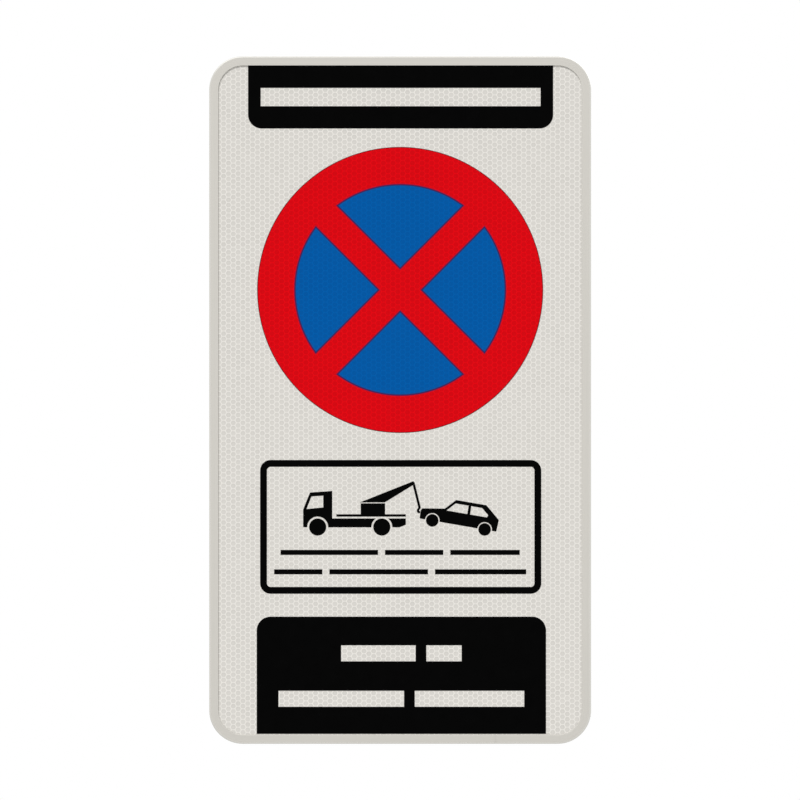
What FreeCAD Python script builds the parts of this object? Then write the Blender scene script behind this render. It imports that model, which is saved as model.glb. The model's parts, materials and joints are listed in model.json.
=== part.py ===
"""No parking sign for private ground: a 500 x 900 mm aluminium plate held in a bent edge profile.

The plate carries a white reflective film with a honeycomb seal pattern, and flat colour films on
that. The edge profile is one extrusion, bent round the plate and closed by a hidden splice. Its
front lip is the raised rim that shows round the face. Its rear groove takes T-bolts, so that pipe
clamps hold the sign to a post and no hole goes through the face.

Millimetres. The face looks along -Y and +Z is up. The origin is the centre of the rear plane, on
which the clamps bear. A depth is measured forwards from that plane, so y = -depth.
"""

import FreeCAD
import Part
import math
import os

# Overall size of the sign
SIGN_WIDTH = 500.0
SIGN_HEIGHT = 900.0
CORNER_RADIUS = 44.0

# Section of the edge profile
PROFILE_DEPTH = 18.0
FRONT_LIP_WIDTH = 12.0
FRONT_LIP_THICKNESS = 1.6
SIDE_WALL = 1.8
GROOVE_FLOOR = 1.8
REAR_LIP_THICKNESS = 2.2
GROOVE_WIDTH = 16.5
GROOVE_MOUTH = 8.5
FRONT_EDGE_ROUND = 1.4
LIP_EDGE_ROUND = 0.5

# Plate and films, in the order in which they lie on each other
PLATE_THICKNESS = 2.0
FILM_THICKNESS = 0.4
PRINT_THICKNESS = 0.1
SLOT_PLAY = 0.05
PLATE_EDGE_PLAY = 0.5

# Joint of the edge profile, in the bottom member, clear of the clamps and the corner
JOINT_X = 125.0
JOINT_GAP = 0.2
SPLICE_LENGTH = 100.0
SPLICE_THICKNESS = 6.0
SPLICE_SIDE_PLAY = 0.2
SPLICE_CHAMFER = 1.0
SCREW_DIAMETER = 6.0
SCREW_SPACING = 60.0
SCREW_LENGTH = 8.0
SCREW_HOLE_PLAY = 0.05
HEX_SOCKET_FLATS = 3.0
HEX_SOCKET_DEPTH = 3.5

# Clear height under each motif of the face, from the top down
GAP_UNDER_HEADING = 24.1
GAP_UNDER_ROUNDEL = 35.5
GAP_UNDER_TOW_PANEL = 30.0
GAP_UNDER_NOTICE = 1.0

# Heading: a black panel that hangs from the rim, with one long word
HEADING_WIDTH = 399.4
HEADING_HEIGHT = 82.4
HEADING_SHIFT = 0.6
PANEL_RADIUS = 18.0
TUCK_UNDER_LIP = 3.0
HEADING_SIDE_MARGIN = 16.5
HEADING_BAR_HEIGHT = 24.0

# Roundel: red ring and cross on a blue field, whose widths are fixed shares of its diameter
ROUNDEL_SIDE_MARGIN = 50.8
RING_SHARE = 0.132
CROSS_SHARE = 0.1056

# Tow-away panel: a black border round the pictogram
TOW_PANEL_WIDTH = 368.1
TOW_PANEL_HEIGHT = 175.1
TOW_PANEL_SHIFT = 0.7
TOW_PANEL_RADIUS = 13.8
TOW_BORDER_WIDTH = 8.9

# Caption in the tow-away panel: the words' shares of each line, upper line first
CAPTION_WORDS = ((127.0, 76.0, 90.5), (63.0, 128.5, 119.0))
CAPTION_SIDE_MARGINS = (27.5, 19.0)
CAPTION_RISES = (54.1, 28.7)
CAPTION_BAR_HEIGHT = 6.5
CAPTION_WORD_GAP = 9.2

# Notice: a black panel just above the bottom rim, and the words' shares of its two lines
NOTICE_WIDTH = 378.8
NOTICE_HEIGHT = 153.5
NOTICE_SHIFT = 1.6
NOTICE_WORDS = ((97.0, 46.0), (164.0, 143.0))
NOTICE_SIDE_MARGINS = (110.5, 28.5)
NOTICE_HEAD = 48.0
NOTICE_TAIL = 46.0
NOTICE_BAR_HEIGHT = 21.0
NOTICE_WORD_GAP = 14.0

# Tow truck, measured from the centre of its front wheel
TRUCK_X = -108.0
TRUCK_DROP = 0.2
TRUCK_WHEEL_RADIUS = 11.2
TRUCK_WHEELBASE = 84.0
TRUCK_ARCH_GAP = 2.5
CAB_FRONT = -19.0
CAB_REAR = 19.1
CAB_ROOF = 47.2
CHASSIS_LOW = -0.4
CHASSIS_TOP = 11.2
CHASSIS_END = 115.4
BED_START = 24.5
BED_GAP = 2.4
BED_THICKNESS = 3.1
WINCH_START = 56.4
WINCH_LENGTH = 31.9
WINCH_TOP = 31.0
JIB_GAP = 1.3
JIB_HEAD = (125.2, 58.6)
CABLE_WIDTH = 3.2
CABLE_FOOT = (133.1, 26.8)

# Towed car, drawn level from its front wheel and then tipped back by the tow angle
CAR_X = 42.0
CAR_LIFT = 8.5
TOW_ANGLE = 9.8
CAR_WHEEL_RADIUS = 8.2
CAR_WHEELBASE = 69.6
CAR_ARCH_GAP = 1.4
CAR_SILL = -0.25
CAR_ROOF = 31.6
CAR_WINDOW_SILL = 16.0
CAR_WINDOW_TOP = 27.1

# Depths of each surface, worked out from the rear plane forwards
SLOT_HEIGHT = PLATE_THICKNESS + FILM_THICKNESS + PRINT_THICKNESS + SLOT_PLAY
PROFILE_WIDTH = GROOVE_WIDTH + 2 * SIDE_WALL
LIP_UNDERSIDE = PROFILE_DEPTH - FRONT_LIP_THICKNESS
PLATE_BACK = LIP_UNDERSIDE - SLOT_HEIGHT
GROOVE_BOTTOM = PLATE_BACK - GROOVE_FLOOR
FILM_BACK = PLATE_BACK + PLATE_THICKNESS
FILM_FRONT = FILM_BACK + FILM_THICKNESS

# Half the width and height of the face that shows inside the rim
FIELD_SIDE = SIGN_WIDTH / 2 - FRONT_LIP_WIDTH
FIELD_TOP = SIGN_HEIGHT / 2 - FRONT_LIP_WIDTH

# Out of the sign's face, towards the viewer
FORWARDS = FreeCAD.Vector(0, -1, 0)


def art_point(x, z, depth):
    """A point seen from the front at x and z, at a depth."""
    return FreeCAD.Vector(x, -depth, z)


def section_point(u, depth):
    """A point of the profile's section: u runs inwards from the sign's outer edge."""
    return FreeCAD.Vector(0, -depth, u)


def rounded_wire(corners, place):
    """A closed wire through (a, b, radius) corners, each turned by a tangent arc of its radius."""
    points = [FreeCAD.Vector(a, b, 0) for a, b, _ in corners]
    ways_in, middles, ways_out = [], [], []
    for i, (_, _, radius) in enumerate(corners):
        here = points[i]
        back = (points[i - 1] - here).normalize()
        ahead = (points[(i + 1) % len(points)] - here).normalize()
        half_angle = back.getAngle(ahead) / 2
        reach = radius / math.tan(half_angle)
        bisector = (back + ahead).normalize()
        ways_in.append(here + back * reach)
        ways_out.append(here + ahead * reach)
        middles.append(here + bisector * (radius / math.sin(half_angle) - radius))
    edges = []
    for i, (_, _, radius) in enumerate(corners):
        after = (i + 1) % len(corners)
        if radius > 0:
            arc_points = [place(p.x, p.y) for p in (ways_in[i], middles[i], ways_out[i])]
            edges.append(Part.Arc(*arc_points).toShape())
        if (ways_in[after] - ways_out[i]).Length > 1e-6:
            ends = [place(p.x, p.y) for p in (ways_out[i], ways_in[after])]
            edges.append(Part.LineSegment(*ends).toShape())
    return Part.Wire(edges)


def sheet(corners, back, thickness):
    """A flat sheet with a rounded outline, from its back's depth forwards."""
    face = Part.Face(rounded_wire(corners, lambda x, z: art_point(x, z, back)))
    return face.extrude(FORWARDS * thickness)


def film(corners):
    """A flat piece of colour film on the front of the white film."""
    return sheet(corners, FILM_FRONT, PRINT_THICKNESS)


def disc(x, z, radius):
    """A round piece of colour film."""
    return Part.makeCylinder(radius, PRINT_THICKNESS, art_point(x, z, FILM_FRONT), FORWARDS)


def rectangle(x_low, x_high, z_low, z_high, low_radius=0.0, high_radius=0.0):
    """Corners of an upright rectangle, with one radius for the lower pair and one for the upper."""
    return [
        (x_low, z_low, low_radius),
        (x_high, z_low, low_radius),
        (x_high, z_high, high_radius),
        (x_low, z_high, high_radius),
    ]


def panel(width, z_low, z_high, low_radius, high_radius):
    """A film panel whose middle is the sign's middle."""
    return film(rectangle(-width / 2, width / 2, z_low, z_high, low_radius, high_radius))


def word_bars(line_width, words, gap, height, z_centre):
    """One plain bar for each word of a centred line, as long as the word's share of the line."""
    bar_run = line_width - gap * (len(words) - 1)
    x = -line_width / 2
    bars = []
    for word in words:
        width = bar_run * word / sum(words)
        bars.append(film(rectangle(x, x + width, z_centre - height / 2, z_centre + height / 2)))
        x += width + gap
    return bars


def motif_places():
    """The roundel's diameter, and the centre heights of heading, roundel, tow panel and notice.

    The roundel fills the width or the height that is left to it, whichever is less. Height that
    it doesn't need widens the gaps between the motifs in their own proportion.
    """
    gaps = [GAP_UNDER_HEADING, GAP_UNDER_ROUNDEL, GAP_UNDER_TOW_PANEL]
    panels = HEADING_HEIGHT + TOW_PANEL_HEIGHT + NOTICE_HEIGHT
    free_height = 2 * FIELD_TOP - panels - sum(gaps) - GAP_UNDER_NOTICE
    diameter = min(2 * (FIELD_SIDE - ROUNDEL_SIDE_MARGIN), free_height)
    widening = 1 + (free_height - diameter) / sum(gaps)
    gaps = [gap * widening for gap in gaps] + [GAP_UNDER_NOTICE]
    centres = []
    top = FIELD_TOP
    for height, gap in zip((HEADING_HEIGHT, diameter, TOW_PANEL_HEIGHT, NOTICE_HEIGHT), gaps):
        centres.append(top - height / 2)
        top -= height + gap
    return diameter, centres


def profile_section():
    """The extrusion's section: front lip, plate slot, T-groove open to the rear and its two lips."""
    wall = SIDE_WALL
    width = PROFILE_WIDTH
    mouth_low = (width - GROOVE_MOUTH) / 2
    mouth_high = (width + GROOVE_MOUTH) / 2
    corners = [
        (0, 0, 0),
        (mouth_low, 0, 0),
        (mouth_low, REAR_LIP_THICKNESS, 0),
        (wall, REAR_LIP_THICKNESS, 0),
        (wall, GROOVE_BOTTOM, 0),
        (width - wall, GROOVE_BOTTOM, 0),
        (width - wall, REAR_LIP_THICKNESS, 0),
        (mouth_high, REAR_LIP_THICKNESS, 0),
        (mouth_high, 0, 0),
        (width, 0, 0),
        (width, PLATE_BACK, 0),
        (wall, PLATE_BACK, 0),
        (wall, LIP_UNDERSIDE, 0),
        (FRONT_LIP_WIDTH, LIP_UNDERSIDE, 0),
        (FRONT_LIP_WIDTH, PROFILE_DEPTH, LIP_EDGE_ROUND),
        (0, PROFILE_DEPTH, FRONT_EDGE_ROUND),
    ]
    return Part.Face(rounded_wire(corners, section_point))


def edge_profile():
    """The section carried round the sign: straight members, four bent corners and the open joint.

    Each member and bend is made in the bottom member's place, then turned about the sign's middle.
    """
    section = profile_section()
    half_width, half_height = SIGN_WIDTH / 2, SIGN_HEIGHT / 2
    straight_x = half_width - CORNER_RADIUS
    straight_z = half_height - CORNER_RADIUS
    members = [
        (0, half_height, JOINT_X + JOINT_GAP / 2, straight_x),
        (90, half_width, -straight_z, straight_z),
        (180, half_height, -straight_x, straight_x),
        (270, half_width, -straight_z, straight_z),
        (0, half_height, -straight_x, JOINT_X - JOINT_GAP / 2),
    ]
    bends = [
        (0, half_height, straight_x),
        (90, half_width, straight_z),
        (180, half_height, straight_x),
        (270, half_width, straight_z),
    ]
    lengths = []
    for turn, reach, start, end in members:
        member = section.copy()
        member.translate(FreeCAD.Vector(start, 0, -reach))
        member = member.extrude(FreeCAD.Vector(end - start, 0, 0))
        member.rotate(FreeCAD.Vector(), FORWARDS, turn)
        lengths.append(member)
    for turn, reach, along in bends:
        bend = section.copy()
        bend.translate(FreeCAD.Vector(along, 0, -reach))
        bend = bend.revolve(FreeCAD.Vector(along, 0, CORNER_RADIUS - reach), FORWARDS, 90)
        bend.rotate(FreeCAD.Vector(), FORWARDS, turn)
        lengths.append(bend)
    return lengths[0].multiFuse(lengths[1:]).removeSplitter()


def slot_sheet(back, thickness):
    """A full sheet of the face, with its edge all round in the profile's slot."""
    inset = SIDE_WALL + PLATE_EDGE_PLAY
    half_width, half_height = SIGN_WIDTH / 2 - inset, SIGN_HEIGHT / 2 - inset
    radius = CORNER_RADIUS - inset
    corners = rectangle(-half_width, half_width, -half_height, half_height, radius, radius)
    return sheet(corners, back, thickness)


def splice_middle():
    """Where the splice's middle lies, on the rear lips inside the groove."""
    z = -SIGN_HEIGHT / 2 + PROFILE_WIDTH / 2
    return FreeCAD.Vector(JOINT_X, -REAR_LIP_THICKNESS, z)


def screw_places():
    """The two set screws' places along the splice, left and right of the joint."""
    return {"left": JOINT_X - SCREW_SPACING / 2, "right": JOINT_X + SCREW_SPACING / 2}


def joint_splice():
    """A flat key in the groove across the joint, with two tapped holes."""
    middle = splice_middle()
    width = GROOVE_WIDTH - 2 * SPLICE_SIDE_PLAY
    bar = Part.makeBox(SPLICE_LENGTH, SPLICE_THICKNESS, width)
    bar.translate(middle + FreeCAD.Vector(-SPLICE_LENGTH / 2, -SPLICE_THICKNESS, -width / 2))
    end_edges = [edge for edge in bar.Edges if abs(edge.tangentAt(edge.FirstParameter).z) > 0.5]
    bar = bar.makeChamfer(SPLICE_CHAMFER, end_edges)
    hole_radius = SCREW_DIAMETER / 2 + SCREW_HOLE_PLAY
    for x in screw_places().values():
        start = FreeCAD.Vector(x, middle.y, middle.z)
        bar = bar.cut(Part.makeCylinder(hole_radius, SPLICE_THICKNESS, start, FORWARDS))
    return bar


def set_screw(x):
    """A socket set screw that jams the splice against the rear lips, its tip on the groove's floor."""
    head = FreeCAD.Vector(x, SCREW_LENGTH - GROOVE_BOTTOM, splice_middle().z)
    screw = Part.makeCylinder(SCREW_DIAMETER / 2, SCREW_LENGTH, head, FORWARDS)
    corner_reach = HEX_SOCKET_FLATS / math.sqrt(3)
    turns = [math.radians(60 * i) for i in range(7)]
    corners = [FreeCAD.Vector(math.cos(a), 0, math.sin(a)) * corner_reach + head for a in turns]
    socket = Part.Face(Part.makePolygon(corners)).extrude(FORWARDS * HEX_SOCKET_DEPTH)
    return screw.cut(socket)


def heading_panel(z_centre):
    """The black panel under the top rim, cut out where its word stands."""
    z_low, z_high = z_centre - HEADING_HEIGHT / 2, FIELD_TOP + TUCK_UNDER_LIP
    heading = panel(HEADING_WIDTH, z_low, z_high, PANEL_RADIUS, 0)
    line_width = HEADING_WIDTH - 2 * HEADING_SIDE_MARGIN
    heading = heading.cut(word_bars(line_width, (1,), 0, HEADING_BAR_HEIGHT, z_centre))
    heading.translate(FreeCAD.Vector(HEADING_SHIFT, 0, 0))
    return heading


def roundel(diameter, z_centre):
    """The red ring and cross in one piece, and the four blue fields that it frames."""
    outer = disc(0, z_centre, diameter / 2)
    inner = disc(0, z_centre, diameter / 2 - RING_SHARE * diameter)
    apex = CROSS_SHARE * diameter / math.sqrt(2)
    base = apex + diameter / 2
    fields = {}
    for name, turn in (("right", 0), ("bottom", 90), ("left", 180), ("top", 270)):
        wedge = film([(apex, 0, 0), (base, apex - base, 0), (base, base - apex, 0)])
        wedge.rotate(FreeCAD.Vector(), FreeCAD.Vector(0, 1, 0), turn)
        wedge.translate(FreeCAD.Vector(0, 0, z_centre))
        fields[f"roundel_field_{name}"] = inner.common(wedge)
    return {"roundel_ring_and_cross": outer.cut(list(fields.values())), **fields}


def tow_border(z_centre):
    """The black frame of the tow-away panel."""
    outlines = []
    for inset in (0, TOW_BORDER_WIDTH):
        half_height = TOW_PANEL_HEIGHT / 2 - inset
        radius = TOW_PANEL_RADIUS - inset
        z_low, z_high = z_centre - half_height, z_centre + half_height
        outlines.append(panel(TOW_PANEL_WIDTH - 2 * inset, z_low, z_high, radius, radius))
    border = outlines[0].cut(outlines[1])
    border.translate(FreeCAD.Vector(TOW_PANEL_SHIFT, 0, 0))
    return border


def truck(z_centre):
    """The tow truck's silhouette: cab with chassis, chassis tail, wheels, bed with winch, and jib."""

    def at_truck(corners):
        return film([(x + TRUCK_X, z + z_centre, radius) for x, z, radius in corners])

    wheels = {"front": TRUCK_X, "rear": TRUCK_X + TRUCK_WHEELBASE}
    arch_radius = TRUCK_WHEEL_RADIUS + TRUCK_ARCH_GAP
    arches = [disc(x, z_centre, arch_radius) for x in wheels.values()]
    body = at_truck(
        [
            (CAB_FRONT, CHASSIS_LOW, 1.4),
            (CHASSIS_END - 8.5, CHASSIS_LOW, 4.0),
            (CHASSIS_END, CHASSIS_LOW + 3.4, 0),
            (CHASSIS_END, CHASSIS_TOP, 0),
            (CAB_REAR, CHASSIS_TOP, 0),
            (CAB_REAR, CAB_ROOF, 0),
            (CAB_FRONT + 9.0, CAB_ROOF - 2.0, 1.6),
            (CAB_FRONT, CAB_ROOF - 24.1, 3.0),
        ]
    )
    window = at_truck(
        [
            (CAB_FRONT + 4.4, CAB_ROOF - 23.7, 0),
            (CAB_REAR - 11.8, CAB_ROOF - 21.5, 0),
            (CAB_REAR - 11.8, CAB_ROOF - 6.1, 0),
            (CAB_FRONT + 10.8, CAB_ROOF - 7.2, 0),
        ]
    )
    cab, *_, tail = sorted(body.cut(arches + [window]).Solids, key=lambda s: s.CenterOfMass.x)
    bed_low = CHASSIS_TOP + BED_GAP
    bed = at_truck(rectangle(BED_START, CHASSIS_END, bed_low, bed_low + BED_THICKNESS))
    winch = at_truck(rectangle(WINCH_START, WINCH_START + WINCH_LENGTH, bed_low, WINCH_TOP))
    pieces = {
        "truck_cab_and_chassis": cab,
        "truck_chassis_tail": tail,
        "truck_bed_and_winch": bed.fuse(winch).removeSplitter(),
        "crane_jib": crane_jib(at_truck),
    }
    for name, x in wheels.items():
        pieces[f"truck_{name}_wheel"] = disc(x, z_centre, TRUCK_WHEEL_RADIUS)
    return pieces


def crane_jib(at_truck):
    """The jib with its cable and hook, as one piece of film."""
    head_x, head_z = JIB_HEAD
    foot_x, foot_z = CABLE_FOOT
    jib_low = WINCH_TOP + JIB_GAP
    jib = at_truck(
        [
            (WINCH_START - 1.1, jib_low, 0),
            (WINCH_START + WINCH_LENGTH - 0.4, jib_low, 0),
            (head_x + 1.2, head_z - 2.8, 0),
            (head_x + 0.6, head_z + 1.5, 1.0),
            (head_x - 1.6, head_z + 0.8, 0),
        ]
    )
    length = math.hypot(foot_x - head_x, foot_z - head_z)
    side_x = (head_z - foot_z) / length * CABLE_WIDTH / 2
    side_z = (foot_x - head_x) / length * CABLE_WIDTH / 2
    cable = at_truck(
        [
            (head_x - side_x, head_z - side_z, 0),
            (foot_x - side_x, foot_z - side_z, 0),
            (foot_x + side_x, foot_z + side_z, 0),
            (head_x + side_x, head_z + side_z, 0.8),
        ]
    )
    hook = at_truck(
        [
            (foot_x - 1.6, foot_z + 0.6, 0),
            (foot_x - 1.3, foot_z - 1.4, 1.0),
            (foot_x - 3.3, foot_z - 4.2, 1.2),
            (foot_x - 3.2, foot_z - 6.9, 1.4),
            (foot_x - 1.4, foot_z - 8.8, 1.0),
            (foot_x + 0.9, foot_z - 8.8, 0),
            (foot_x + 1.2, foot_z - 5.9, 0),
            (foot_x + 0.3, foot_z - 5.9, 0.4),
            (foot_x - 0.3, foot_z - 4.9, 0.4),
            (foot_x + 1.9, foot_z - 1.6, 1.4),
            (foot_x + 1.6, foot_z + 0.6, 0),
        ]
    )
    return jib.fuse([cable, hook]).removeSplitter()


def towed_car(z_centre):
    """The car's silhouette and wheels, drawn level and tipped back about the front wheel."""
    wheels = {"front": 0.0, "rear": CAR_WHEELBASE}
    arches = [disc(x, 0, CAR_WHEEL_RADIUS + CAR_ARCH_GAP) for x in wheels.values()]
    body = film(
        [
            (-16.7, CAR_SILL, 1.0),
            (CAR_WHEELBASE + 15.6, CAR_SILL, 1.4),
            (CAR_WHEELBASE + 16.2, 15.3, 1.6),
            (CAR_WHEELBASE - 3.0, CAR_ROOF, 1.2),
            (26.4, CAR_ROOF, 0.8),
            (13.7, 18.0, 0),
            (-15.6, 13.3, 1.4),
            (-17.1, 10.4, 0),
        ]
    )
    front_window = film(
        [
            (16.1, CAR_WINDOW_SILL, 0),
            (43.9, CAR_WINDOW_SILL, 0),
            (43.6, CAR_WINDOW_TOP, 0),
            (26.6, CAR_WINDOW_TOP, 0),
        ]
    )
    rear_window = film(
        [
            (47.6, CAR_WINDOW_SILL, 0),
            (69.8, CAR_WINDOW_SILL, 0.8),
            (71.1, 19.1, 0.8),
            (61.6, CAR_WINDOW_TOP, 0.8),
            (47.1, CAR_WINDOW_TOP, 0),
        ]
    )
    pieces = {"towed_car_body": body.cut(arches + [front_window, rear_window])}
    for name, x in wheels.items():
        pieces[f"towed_car_{name}_wheel"] = disc(x, 0, CAR_WHEEL_RADIUS)
    for piece in pieces.values():
        piece.rotate(FreeCAD.Vector(), FreeCAD.Vector(0, 1, 0), TOW_ANGLE)
        piece.translate(FreeCAD.Vector(CAR_X, 0, z_centre + CAR_LIFT))
    return pieces


def caption_lines(z_centre):
    """Two lines of plain bars under the pictogram, one bar for each word."""
    lines = {}
    for i, (words, margin, rise) in enumerate(
        zip(CAPTION_WORDS, CAPTION_SIDE_MARGINS, CAPTION_RISES)
    ):
        line_width = TOW_PANEL_WIDTH - 2 * margin
        z_line = z_centre - TOW_PANEL_HEIGHT / 2 + rise
        bars = word_bars(line_width, words, CAPTION_WORD_GAP, CAPTION_BAR_HEIGHT, z_line)
        lines[f"caption_line_{i + 1}"] = Part.makeCompound(bars)
    return lines


def notice_panel(z_centre):
    """The black panel above the bottom rim, cut out where its words stand."""
    z_low, z_high = z_centre - NOTICE_HEIGHT / 2, z_centre + NOTICE_HEIGHT / 2
    notice = panel(NOTICE_WIDTH, z_low, z_high, 0, PANEL_RADIUS)
    for words, margin, z_line in zip(
        NOTICE_WORDS, NOTICE_SIDE_MARGINS, (z_high - NOTICE_HEAD, z_low + NOTICE_TAIL)
    ):
        line_width = NOTICE_WIDTH - 2 * margin
        bars = word_bars(line_width, words, NOTICE_WORD_GAP, NOTICE_BAR_HEIGHT, z_line)
        notice = notice.cut(bars)
    notice.translate(FreeCAD.Vector(NOTICE_SHIFT, 0, 0))
    return notice


def build_nodes():
    """Every piece of the sign by its node's name."""
    diameter, (heading_z, roundel_z, tow_z, notice_z) = motif_places()
    nodes = {
        "backing_plate": slot_sheet(PLATE_BACK, PLATE_THICKNESS),
        "edge_profile": edge_profile(),
        "joint_splice": joint_splice(),
        "face_film": slot_sheet(FILM_BACK, FILM_THICKNESS),
        "heading_panel": heading_panel(heading_z),
        "tow_panel_border": tow_border(tow_z),
        "notice_panel": notice_panel(notice_z),
    }
    for side, x in screw_places().items():
        nodes[f"splice_screw_{side}"] = set_screw(x)
    nodes.update(roundel(diameter, roundel_z))
    nodes.update(truck(tow_z - TRUCK_DROP))
    nodes.update(towed_car(tow_z))
    nodes.update(caption_lines(tow_z))
    return nodes


def main():
    """Writes one STEP file for each node."""
    os.makedirs("parts", exist_ok=True)
    for name, shape in sorted(build_nodes().items()):
        valid = shape.isValid() and all(solid.isClosed() for solid in shape.Solids)
        print(f"{name}: {len(shape.Solids)} solid, {shape.Volume:.1f} mm3, valid {valid}")
        shape.exportStep(f"parts/{name}.step")


main()
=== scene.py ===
# %% [markdown]
# # A no parking sign in a bent edge profile
# The real sign is a 2 mm aluminium plate with a white reflective film, and thin colour films on
# that. An aluminium profile is bent round the plate and closed at the bottom. Its front lip is the
# raised rim that shows, and its rear groove takes the bolts of pipe clamps.
#
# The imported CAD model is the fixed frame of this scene. It could be remodelled by hand, but then
# looks and sizes drift apart. So a piece whose shape is right, such as a black film, keeps its CAD
# node and gets a finish. Only a piece that needs a finer surface is worked out anew, in the same
# place.

# %% Load the frame
import json
import math

import bpy
import numpy as np
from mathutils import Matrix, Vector
from mathutils.geometry import delaunay_2d_cdt


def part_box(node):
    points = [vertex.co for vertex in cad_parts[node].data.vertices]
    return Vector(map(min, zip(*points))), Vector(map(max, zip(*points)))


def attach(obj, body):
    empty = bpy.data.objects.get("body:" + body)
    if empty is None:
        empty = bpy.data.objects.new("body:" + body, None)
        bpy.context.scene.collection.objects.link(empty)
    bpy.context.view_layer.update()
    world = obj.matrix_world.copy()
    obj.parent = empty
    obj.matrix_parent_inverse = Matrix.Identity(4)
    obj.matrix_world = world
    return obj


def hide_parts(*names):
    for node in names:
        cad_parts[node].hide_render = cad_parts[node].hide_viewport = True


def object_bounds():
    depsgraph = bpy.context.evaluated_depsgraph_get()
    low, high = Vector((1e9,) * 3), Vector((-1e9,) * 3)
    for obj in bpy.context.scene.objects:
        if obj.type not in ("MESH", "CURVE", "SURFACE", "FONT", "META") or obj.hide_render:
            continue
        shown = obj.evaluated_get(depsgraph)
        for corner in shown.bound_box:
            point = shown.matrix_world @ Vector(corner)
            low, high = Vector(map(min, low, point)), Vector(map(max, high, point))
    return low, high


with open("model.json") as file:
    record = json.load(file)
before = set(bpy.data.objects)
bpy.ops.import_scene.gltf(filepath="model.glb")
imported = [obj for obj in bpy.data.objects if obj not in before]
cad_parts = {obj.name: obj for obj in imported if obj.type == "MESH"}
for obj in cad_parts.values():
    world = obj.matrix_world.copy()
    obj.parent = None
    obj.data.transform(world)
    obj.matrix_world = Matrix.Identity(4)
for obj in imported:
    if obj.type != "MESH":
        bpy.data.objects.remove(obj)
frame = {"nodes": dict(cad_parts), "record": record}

cad_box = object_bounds()
print("CAD box in metres:", [round(v, 4) for corner in cad_box for v in corner])

# %% [markdown]
# ## The camera
# The photograph looks at the sign straight on, and none of its four sides shows. An orthographic
# camera could do that, but a real one stands somewhere, so this is a long lens far away. At the
# face, the square frame is VIEW_HEIGHT high, and the distance follows from lens and sensor. The
# picture's middle isn't quite the sign's, so the camera stands a hair to the left and higher.

# %% Camera
VIEW_HEIGHT = 1.0474
LENS = 200.0
SENSOR = 36.0
ASIDE, ABOVE = -0.0002, 0.00015

face_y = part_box("face_film")[0].y
camera_data = bpy.data.cameras.new("camera")
camera_data.lens = LENS
camera_data.sensor_width = SENSOR
camera_data.clip_end = 100.0
camera = bpy.data.objects.new("camera", camera_data)
camera.location = (ASIDE, face_y - VIEW_HEIGHT * LENS / SENSOR, ABOVE)
camera.rotation_euler = (math.radians(90), 0, 0)
bpy.context.collection.objects.link(camera)
bpy.context.scene.camera = camera
print(f"camera {-camera.location.y:.2f} m in front of the sign")

# %% [markdown]
# ## A short way to wire nodes
# Every finish below is a graph of shader nodes. Each node could be made and linked in three or
# four lines, but then the pattern drowns in plumbing. This small class adds a node in one line: an
# input is either a plain value or another node's output.

# %% Wiring
class Wiring:
    """Adds nodes to one node tree, with inputs given by name or number."""

    def __init__(self, tree):
        self.tree = tree

    def node(self, kind, inputs=None, **options):
        """One node, with its options set first, because they decide which inputs it has."""
        made = self.tree.nodes.new(kind)
        for option, value in options.items():
            setattr(made, option, value)
        for key, value in (inputs or {}).items():
            if isinstance(value, bpy.types.NodeSocket):
                self.tree.links.new(value, made.inputs[key])
            else:
                made.inputs[key].default_value = value
        return made

    def place(self):
        """Where each point is, in metres."""
        return self.node("ShaderNodeTexCoord").outputs["Object"]

    def math(self, operation, *values):
        """A sum, product or other function of numbers."""
        return self.node("ShaderNodeMath", dict(enumerate(values)), operation=operation).outputs[0]

    def vector(self, operation, *values):
        """A function of vectors that gives a vector."""
        made = self.node("ShaderNodeVectorMath", dict(enumerate(values)), operation=operation)
        return made.outputs["Vector"]

    def length(self, vector):
        """How long a vector is."""
        made = self.node("ShaderNodeVectorMath", {0: vector}, operation="LENGTH")
        return made.outputs["Value"]

    def step(self, value, start, end, low=0.0, high=1.0):
        """Goes softly from low to high while value goes from start to end."""
        inputs = {"Value": value, "From Min": start, "From Max": end, "To Min": low, "To Max": high}
        made = self.node("ShaderNodeMapRange", inputs, interpolation_type="SMOOTHSTEP")
        return made.outputs["Result"]

    def blend(self, share, first, second):
        """Mixes two colours, share 0 giving the first."""
        made = self.node("ShaderNodeMix", {0: share, 6: first, 7: second}, data_type="RGBA")
        return made.outputs[2]

    def noise(self, place, scale, detail=2.0, roughness=0.5):
        """Smooth random values between 0 and 1, about scale bumps to one unit of place."""
        inputs = {"Vector": place, "Scale": scale, "Detail": detail, "Roughness": roughness}
        return self.node("ShaderNodeTexNoise", inputs).outputs[0]


def screen(red, green, blue):
    """A colour of 0 to 255 on screen as the linear light that shaders work in."""
    c = np.array([red, green, blue]) / 255
    linear = np.where(c <= 0.04045, c / 12.92, ((c + 0.055) / 1.055) ** 2.4)
    return (*(float(v) for v in linear), 1.0)


print("mid grey on screen is", round(screen(128, 128, 128)[0], 3), "in linear light")

# %% [markdown]
# ## Studio air
# The photograph has a pure white background and no lamp can be made out. White could come from
# very strong lamps, but they would bleach the sign as well. So the world has two strengths: rays
# from the camera, from gloss and through glass see plain white, and all others gather a softer
# light, which is what lights the sign.

# %% World
AMBIENT = 0.575

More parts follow.
